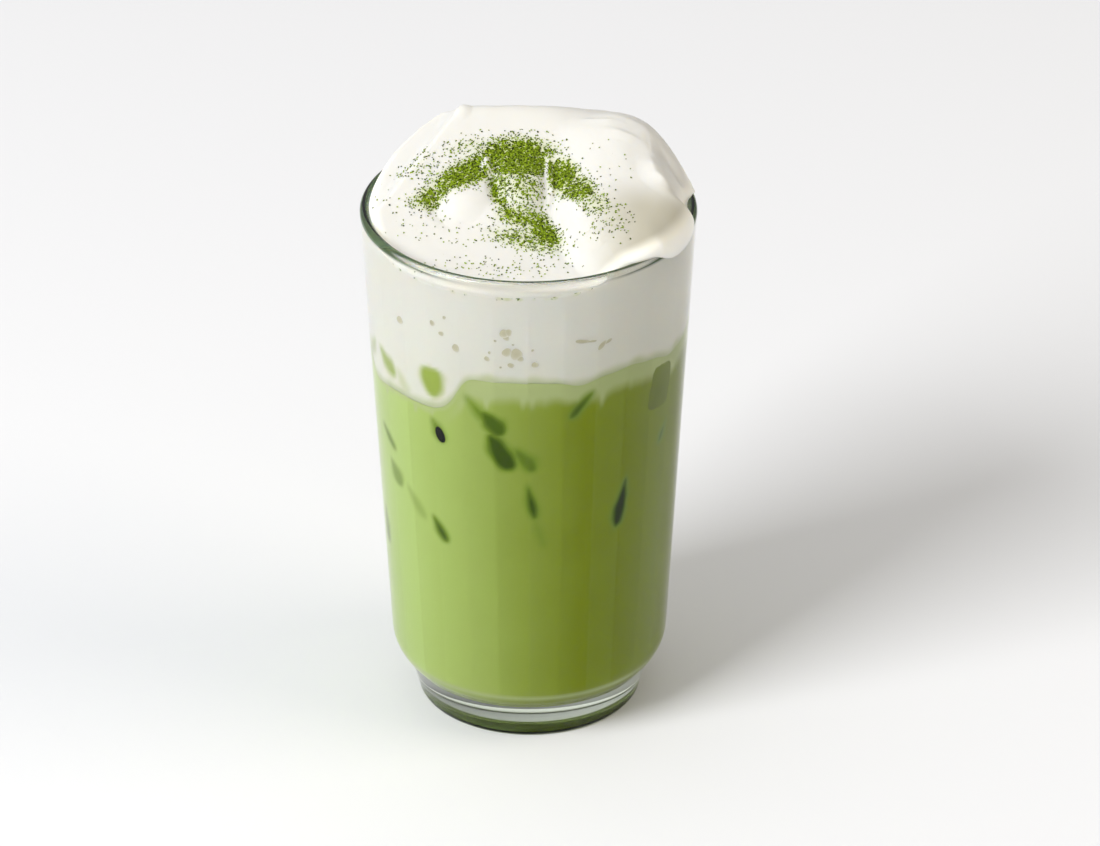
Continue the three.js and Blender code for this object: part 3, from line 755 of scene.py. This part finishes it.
for share in np.linspace(0, 1, CREAM_RIM_ROWS)[:-1]:
    r, z = rim_point(np.minimum(edge, 0) + np.maximum(edge, 0) * share, -INTO_WALL)
    radius.append(r)
    height.append(z)
edge_radius, edge_height = rim_point(edge, (INTO_WALL + CREAM_LIP) * outside - INTO_WALL)
for share in np.linspace(1, 0, CREAM_SKIN_ROWS):
    r = edge_radius * math.sin(share * math.pi / 2) ** CREAM_SKIN_PACKING
    past = np.arcsin(np.clip((r - edge_radius + roll) / roll, 0, 1))
    x, y = r * np.sin(np.radians(cream_angles)), -r * np.cos(np.radians(cream_angles))
    top = GLASS_HEIGHT + cream_height(x, y)
    r = r + belly * np.sin(2 * past)
    z = edge_height + (top - edge_height) * np.cos(past)
    radius.append(r)
    height.append(z + on_bead * (smooth_max(z, over_bead(r), BEAD_BLEND) - z))
radius = np.array(radius)
height = np.array(height)
on_skin = np.arange(len(radius))[:, None] >= len(radius) - CREAM_SKIN_ROWS
wall_rows = (~on_skin) & (radius > CREAM_WALL_FROM)
all_angles = np.broadcast_to(cream_angles, height.shape)
x, y = radius * np.sin(np.radians(cream_angles)), -radius * np.cos(np.radians(cream_angles))

# How thickly matcha was sieved on the cream: patches of x, y, half sizes, turn and strength
POWDER_PATCHES = [
    ("left arm", -14, 4.4, 12, 4.6, 30, 1.05),
    ("left end", -22.5, -1.8, 5.5, 3.6, 20, 0.9),
    ("peak", -3, 9, 10, 5.4, 0, 1.15),
    ("core", -1.5, 5, 8, 5, 0, 1.1),
    ("groove", -7.0, -1, 2.6, 7, 12, 1.0),
    ("tongue", -1.5, -3.5, 6.5, 6, 0, 0.68),
    ("foot of the tongue", -1.5, -8.6, 8, 2.8, -8, 1.0),
    ("right of the fold", 7.6, 2, 4.4, 6.5, 22, 1.1),
    ("right tail", 11.4, -5.0, 4.2, 7, 26, 0.9),
    ("right tip", 15.4, -12, 4, 6, 30, 0.5),
    ("right specks", 19, -18, 5, 7, 30, 0.27),
    ("under the blade", 3.6, -12.5, 3.4, 7.5, 34, 1.0),
    ("front apron", 0, -15.5, 12, 4.2, -22, 0.6),
    ("left specks", -25.5, 7, 7, 6, 0, 0.27),
    ("back specks", -13, 11.5, 9, 3.4, 10, 0.4),
    ("wide dusting", -6, -2, 26, 15, 0, 0.15),
    ("front specks", -6, -26, 18, 6, 0, 0.13),
]
POWDER_BARE = [
    ("cheek", -14.2, -6.5, 6.6, 3.4, -14, 0.95),
    ("blade", 9, -11.5, 2.2, 6.5, 24, 0.92),
    ("notch", -10.4, 6.6, 0.7, 1.6, -30, 0.8),
    ("thin fold", 4.1, 2.5, 0.45, 5, -4, 0.85),
]
PATCH_POWER = 1.5
BARE_POWER = 2
SLOPE_STEP = 0.4
powder = np.zeros(x.shape)
for _, cx, cy, rx, ry, turn, amount in POWDER_PATCHES:
    patch = np.exp(-(ellipse_share(x, y, cx, cy, rx, ry, turn) ** PATCH_POWER))
    powder = np.maximum(powder, amount * patch)
for _, cx, cy, rx, ry, turn, amount in POWDER_BARE:
    patch = np.exp(-(ellipse_share(x, y, cx, cy, rx, ry, turn) ** BARE_POWER))
    powder = powder * (1 - amount * patch)
rise_x = (cream_height(x + SLOPE_STEP, y) - cream_height(x - SLOPE_STEP, y)) / (2 * SLOPE_STEP)
rise_y = (cream_height(x, y + SLOPE_STEP) - cream_height(x, y - SLOPE_STEP)) / (2 * SLOPE_STEP)
powder = np.where(on_skin, powder / np.sqrt(1 + rise_x**2 + rise_y**2), 0)

# A broken line of wet powder where the cream's edge meets the glass at the front
WET_LINE_DROP = 0.3
WET_LINE_WIDTH = (0.3, 0.9)
WET_LINE_LEAST = 0.1
WET_LINE_ROUND = [("front", -18, 50, 1, 6)]
CLUMP_RADIUS = 37
clumps = ripple(np.radians(all_angles) * CLUMP_RADIUS, 0 * height, seed=9, count=9, low=0.5, high=2.5)
clumps = WET_LINE_LEAST + (1 - WET_LINE_LEAST) * np.clip(clumps, 0, 1)
wet_line = 1 - smoothstep(*WET_LINE_WIDTH, np.abs(wall_top - WET_LINE_DROP - height))
wet_line = wet_line * swells(0, WET_LINE_ROUND, all_angles) * clumps

# Green at the wall: the drink stains the cream's foot and shows through holes in its layer, each
# set out like a window of the ice
CREAM_HOLES = [
    ("hole at the left", -70.9, 101.4, -57.6, 96.2, 2.2, 0.7, 0.9),
    ("hole", -37.6, 95.6, -38.8, 104.6, 3.4, 0.4, 1.0),
    ("edge hole", -73.5, 102.0, -83.5, 95.0, 1.8, 0.8, 0.6),
    ("smear", -58.0, 99.6, -50.0, 93.0, 1.8, 0.8, 0.3),
    ("back hole", 168, 104, 176, 95, 3.2, 0.5, 0.9),
    ("side hole", 120, 108, 126, 101, 2.4, 0.6, 0.8),
]
STAIN_WAVE = 0.7
STAIN_HEIGHT = 2.6
STAIN_SHARE = 0.5
holes = window_film(CREAM_HOLES, all_angles, height)
around = np.radians(all_angles) * WALL_RADIUS
stain_waves = ripple(around, height * UPRIGHT, seed=6, count=9, low=0.4, high=1.4)
above_drink = height - level + STAIN_WAVE * stain_waves
stain = STAIN_SHARE * (1 - smoothstep(0, STAIN_HEIGHT, above_drink))
green = np.where(wall_rows, np.maximum(holes, stain), 0)

# Painted light whitens the cream against the glass, and painted shade darkens the lobe at the right front,
# which faces away from the key lamp
BEHIND_GLASS_REACH = 3
LOBE_SHADE_ACROSS = (9, 27)
LOBE_SHADE_BACK = (-16, -2)
painted_light_at_glass = 1 - smoothstep(0, BEHIND_GLASS_REACH, np.where(on_skin, edge_radius - radius, 0.0))
painted_lobe_shade = np.where(on_skin, smoothstep(*LOBE_SHADE_ACROSS, x) * (1 - smoothstep(*LOBE_SHADE_BACK, y)), 0)
cream_mesh = ring_mesh("whipped_cream", cream_angles, radius, height, {
    "powder": np.maximum(powder, np.where(wall_rows, wet_line, 0)), "loose": powder,
    "painted_light_at_glass": painted_light_at_glass, "green": green, "painted_lobe_shade": painted_lobe_shade,
})

# Whipped cream: fat and air, so light soaks in and the shade stays warm and soft. Fine matcha lies
# on it in specks about 0.4 mm wide, thick enough in places to hide it.
cream_material, nodes, shader = new_material("whipped_cream")
SPECK_SIZE = 0.9 * MM
TINT_SIZE = 0.5 * MM
GRIT_HEIGHT = 0.3 * MM
POWDER_FULL = 0.9
SPECKS_FEW = 0.80
SPECKS_MANY = 0.38
SPECK_EDGE = (-0.02, 0.04)
DUST_FROM = 0.2
DUST_MOST = 0.6
BARE_SOAK = 0.7
where = add(nodes, "ShaderNodeTexCoord").outputs["Object"]
specks = add(nodes, "ShaderNodeTexNoise", where,
             sockets={"Scale": 1 / SPECK_SIZE, "Detail": 2.0, "Roughness": 0.6})
powder_mark = mark(nodes, "powder")
bar = add(nodes, "ShaderNodeMapRange", powder_mark, 0.0, POWDER_FULL, SPECKS_FEW, SPECKS_MANY)
over = worked(nodes, "SUBTRACT", specks.outputs["Fac"], bar)
cover = add(nodes, "ShaderNodeMapRange", over, *SPECK_EDGE, 0.0, 1.0)
tint = add(nodes, "ShaderNodeTexNoise", where, sockets={"Scale": 1 / TINT_SIZE, "Detail": 1.0})
greens = add(nodes, "ShaderNodeValToRGB", tint.outputs["Fac"])
dark_green, light_green = greens.color_ramp.elements
dark_green.position = 0.35
dark_green.color = linear("#0e1600")
light_green.position = 0.65
light_green.color = linear("#8ca41e")
# Painted shade: the lobe at the right front is darkened towards a warm beige
plain = mixed(nodes, mark(nodes, "painted_lobe_shade"), linear("#dbdad5"), linear("#bab6a6"))
# Painted light: the cream against the glass is made whiter than the cream on top
white = mixed(nodes, mark(nodes, "painted_light_at_glass"), plain, linear("#fdfbf0"))
stained = mixed(nodes, mark(nodes, "green"), white, linear("#aabf50"))
fine = add(nodes, "ShaderNodeMapRange", powder_mark, DUST_FROM, 1.0, 0.0, DUST_MOST)
dusted = mixed(nodes, fine, stained, linear("#bac83c"))
skin = mixed(nodes, cover, dusted, greens.outputs["Color"])
nodes.links.new(skin, shader.inputs["Base Color"])
soak = add(nodes, "ShaderNodeMapRange", cover, 0.0, 1.0, BARE_SOAK, 0.0)
nodes.links.new(soak.outputs[0], shader.inputs["Subsurface Weight"])
shader.inputs["Subsurface Radius"].default_value = (1.0, 0.9, 0.7)
shader.inputs["Subsurface Scale"].default_value = 2 * MM
shader.inputs["Roughness"].default_value = 0.4
shader.inputs["IOR"].default_value = 1.35
shader.inputs["Specular IOR Level"].default_value = 0.3
grit = add(nodes, "ShaderNodeBump", sockets={"Strength": 0.5, "Distance": GRIT_HEIGHT, "Height": cover})
nodes.links.new(grit.outputs[0], shader.inputs["Normal"])
cream = shown("whipped_cream", cream_mesh, cream_material)
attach(cream, "root")
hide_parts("cream")

# The bubbles: air caught between the cream and the wall, flat against the glass. Each is a thin
# lens of cream film, a little darker than the cream, most of them in clusters at the front.
BUBBLES = [
    # (angle, height, half width in mm)
    (-8.9, 117.6, 1.15), (-7.2, 117.9, 0.95), (-8.0, 116.4, 0.8), (-7.9, 112.5, 1.2), (-4.2, 112.2, 1.6),
    (-3.0, 111.0, 0.9), (-15.1, 110.2, 0.7), (-14.2, 112.0, 0.4), (-6.4, 108.9, 0.75), (2.2, 109.2, 0.85),
    (1.4, 113.2, 0.35), (-36.6, 116.7, 0.8), (-32.9, 114.5, 0.7), (-26.9, 111.7, 1.1), (-31.3, 119.2, 0.5),
    (-52.7, 113.5, 1.2), (-12.0, 115.4, 0.35), (-5.6, 114.6, 0.3), (-10.2, 108.2, 0.3), (103, 112, 1.1),
    (108, 115, 0.7), (131, 109, 0.9), (170, 116, 1.3), (174, 113.5, 0.8), (179, 117, 0.5), (206, 111, 1.0),
    (228, 114, 1.2), (232, 117, 0.6), (251, 110, 0.8),
]
FLECKS = [
    # (angle, height, half width in mm, lean in degrees, flatness)
    (19.6, 114.4, 1.9, 12, 0.32), (23.4, 114.0, 1.2, 5, 0.25), (27.2, 112.4, 1.6, -38, 0.42),
    (29.8, 113.0, 1.1, -20, 0.4),
]
BUBBLE_SIDES = 24
BUBBLE_RINGS = 5
BUBBLE_BULGE = 0.12
BUBBLE_PROUD = 0.01
BUBBLE_WOBBLES = (0.10, 0.06)
GLINT_POWER = 3
GLINT_TURN = 0.6
ring_turns = [side * 2 * math.pi / BUBBLE_SIDES for side in range(BUBBLE_SIDES)]
lens_points = [(0.0, 0.0)]
lens_points += [(ring / BUBBLE_RINGS, turn) for ring in range(1, BUBBLE_RINGS + 1) for turn in ring_turns]
lens_faces = []
for side in range(BUBBLE_SIDES):
    then = (side + 1) % BUBBLE_SIDES
    lens_faces.append((0, 1 + side, 1 + then))
    for a in range(1, 1 + (BUBBLE_RINGS - 1) * BUBBLE_SIDES, BUBBLE_SIDES):
        lens_faces.append((a + side, a + BUBBLE_SIDES + side, a + BUBBLE_SIDES + then, a + then))
bubble_points, bubble_faces, bubble_glints = [], [], []
for angle, z, half, lean, flatness in [(*bubble, 0, 1) for bubble in BUBBLES] + FLECKS:
    face = inside_radius(z) * panel_share(np.array(angle), np.array(z)) + INTO_WALL
    c, s = math.cos(math.radians(lean)), math.sin(math.radians(lean))
    for layer in (1, -1):
        first = len(bubble_points)
        for share, turn in lens_points:
            wobble = 1 + BUBBLE_WOBBLES[0] * math.sin(2 * turn + z)
            wobble += BUBBLE_WOBBLES[1] * math.sin(3 * turn + angle)
            wide = half * share * wobble * math.cos(turn)
            tall = half * share * wobble * math.sin(turn) * flatness
            turned = math.radians(angle) + (wide * c + tall * s) / face
            r = face + layer * BUBBLE_BULGE * math.sqrt(1 - share**2) + BUBBLE_PROUD
            point = (r * math.sin(turned), -r * math.cos(turned), z + tall * c - wide * s)
            bubble_points.append([MM * length for length in point])
            # A painted highlight on one side of each lens's edge
            bubble_glints.append(share**GLINT_POWER * (0.5 + 0.5 * math.cos(turn + GLINT_TURN)))
        for loop in lens_faces:
            bubble_faces.append([first + corner for corner in loop[::layer]])
bubble_mesh = bpy.data.meshes.new("bubbles")
bubble_mesh.from_pydata(bubble_points, [], bubble_faces)
bubble_mark = bubble_mesh.attributes.new("glint", "FLOAT", "POINT")
bubble_mark.data.foreach_set("value", bubble_glints)
bubble_mesh.shade_smooth()

# Cream film over air: the cream's own white, seen deeper, so it looks beige, with a painted highlight on one
# side of its edge.
film_material, nodes, shader = new_material("cream_film")
beige = mixed(nodes, mark(nodes, "glint"), linear("#d3ceb2"), linear("#fffdf5"))
nodes.links.new(beige, shader.inputs["Base Color"])
shader.inputs["Roughness"].default_value = 0.5
shader.inputs["Specular IOR Level"].default_value = 0.0
bubbles = shown("bubbles", bubble_mesh, film_material)
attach(bubbles, "root")

# The powder: green tea leaves ground to fine grains and sieved over the cream. The coarser grains
# lie loose on its skin, thickest where the cream's own specks are.
GRAIN_SIZE = 0.75
GRAINS_PER_SQUARE_METRE = 5.0e6
GRAIN_LEAST = (0.35, 0.35, 0.25)
GRAIN_MOST = (1.0, 0.8, 0.6)
GRAIN_TURN = (6.283, 6.283, 6.283)
BARE_BELOW = 0.02

# Ground tea: dull and rough, from dark to light green by the grain.
powder_material, nodes, shader = new_material("matcha_powder")
greens = add(nodes, "ShaderNodeValToRGB", mark(nodes, "tone"))
dark_green, light_green = greens.color_ramp.elements
dark_green.color = linear("#202e00")
light_green.color = linear("#90aa24")
nodes.links.new(greens.outputs["Color"], shader.inputs["Base Color"])
shader.inputs["Roughness"].default_value = 0.9
shader.inputs["Specular IOR Level"].default_value = 0.1

tree, given, out = new_tree("powder_sieving", {
    "Density": "Float", "Grain": "Float", "Seed": "Int", "Material": "Material",
})
amount = add(tree, "GeometryNodeInputNamedAttribute", "loose", data_type="FLOAT")
share = add(tree, "ShaderNodeMapRange", amount, BARE_BELOW, 1.0, 0.0, 1.0)
rate = worked(tree, "MULTIPLY", share, given.outputs["Density"])
points = add(tree, "GeometryNodeDistributePointsOnFaces", given.outputs["Geometry"],
             sockets={"Density": rate, "Seed": given.outputs["Seed"]}, distribute_method="RANDOM")
grain = add(tree, "GeometryNodeMeshIcoSphere", given.outputs["Grain"], 1)
turn = add(tree, "FunctionNodeRandomValue", sockets={0: (0, 0, 0), 1: GRAIN_TURN, "Seed": 3},
           data_type="FLOAT_VECTOR")
size = add(tree, "FunctionNodeRandomValue", sockets={0: GRAIN_LEAST, 1: GRAIN_MOST, "Seed": 4},
           data_type="FLOAT_VECTOR")
strewn = add(tree, "GeometryNodeInstanceOnPoints", points,
             sockets={"Instance": grain, "Rotation": turn, "Scale": size})
shade = add(tree, "FunctionNodeRandomValue", sockets={2: 0.0, 3: 1.0, "Seed": 5}, data_type="FLOAT")
toned = add(tree, "GeometryNodeStoreNamedAttribute", strewn,
            sockets={"Name": "tone", "Value": shade.outputs[1]}, data_type="FLOAT", domain="INSTANCE")
whole = add(tree, "GeometryNodeRealizeInstances", toned)
finished = add(tree, "GeometryNodeSetMaterial", whole, sockets={"Material": given.outputs["Material"]})
tree.links.new(finished.outputs[0], out.inputs[0])
grains = grown("matcha_powder", cream_mesh.copy(), tree, {
    "Density": GRAINS_PER_SQUARE_METRE, "Grain": GRAIN_SIZE / 2 * MM, "Seed": 8, "Material": powder_material,
})
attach(grains, "root")

# The studio: a wide pale floor, a broad soft lamp from the front left, a weaker warm one from the
# right and a pale sky, with the camera where the photograph was taken from.
FLOOR_HALF = 6
floor_mesh = bpy.data.meshes.new("floor")
floor_corners = [(x * FLOOR_HALF, y * FLOOR_HALF, 0) for x, y in [(-1, -1), (1, -1), (1, 1), (-1, 1)]]
floor_mesh.from_pydata(floor_corners, [], [(0, 1, 2, 3)])
floor_material, nodes, shader = new_material("pale_floor")
shader.inputs["Base Color"].default_value = linear("#e6e7ea")
shader.inputs["Roughness"].default_value = 0.9
floor = shown("floor", floor_mesh, floor_material)

SKY_BRIGHT_SIDE = (-0.35, 0.25, 0.90)
SKY_DARK = 0.06
SKY_BRIGHT = 0.70
world = bpy.data.worlds.new("studio")
world.use_nodes = True
nodes = world.node_tree
sky = add(nodes, "ShaderNodeTexCoord").outputs["Generated"]
bright_side = add(nodes, "ShaderNodeVectorMath", sky, SKY_BRIGHT_SIDE, operation="DOT_PRODUCT")
fade = add(nodes, "ShaderNodeMapRange", bright_side.outputs["Value"], 0.0, 1.0, SKY_DARK, SKY_BRIGHT)
background = nodes.nodes["Background"]
background.inputs["Color"].default_value = (1, 1, 1, 1)
nodes.links.new(fade.outputs[0], background.inputs["Strength"])
bpy.context.scene.world = world

LAMP_AIM_HEIGHT = 0.07


def lamp(name, azimuth, elevation, distance, size, power, colour):
    light = bpy.data.lights.new(name, "AREA")
    light.size = size
    light.energy = power
    light.color = linear(colour)[:3]
    piece = bpy.data.objects.new(name, light)
    a, e = math.radians(azimuth), math.radians(elevation)
    level = distance * math.cos(e)
    piece.location = (level * math.sin(a), -level * math.cos(a), distance * math.sin(e) + LAMP_AIM_HEIGHT)
    piece.rotation_euler = (math.pi / 2 - e, 0, a)
    bpy.context.scene.collection.objects.link(piece)


lamp("key_lamp", azimuth=-52, elevation=35, distance=2.6, size=1.2, power=74, colour="#ffffff")
lamp("fill_lamp", azimuth=80, elevation=36, distance=2.6, size=1.6, power=25, colour="#fff4e0")

FOCAL_PIXELS = 5774
IMAGE_WIDTH = 1100
SENSOR = 36
CAMERA_PLACE = (0, -1.2129, 0.7650)
CAMERA_DOWN = 0.5189
CAMERA_TURN = -0.0042
camera_data = bpy.data.cameras.new("camera")
camera_data.sensor_width = SENSOR
camera_data.lens = FOCAL_PIXELS / IMAGE_WIDTH * SENSOR
camera_data.clip_end = 50
camera = bpy.data.objects.new("camera", camera_data)
camera.location = CAMERA_PLACE
camera.rotation_euler = (math.pi / 2 - CAMERA_DOWN, 0, CAMERA_TURN)
bpy.context.scene.collection.objects.link(camera)
bpy.context.scene.camera = camera
bpy.context.scene.view_settings.view_transform = "Standard"
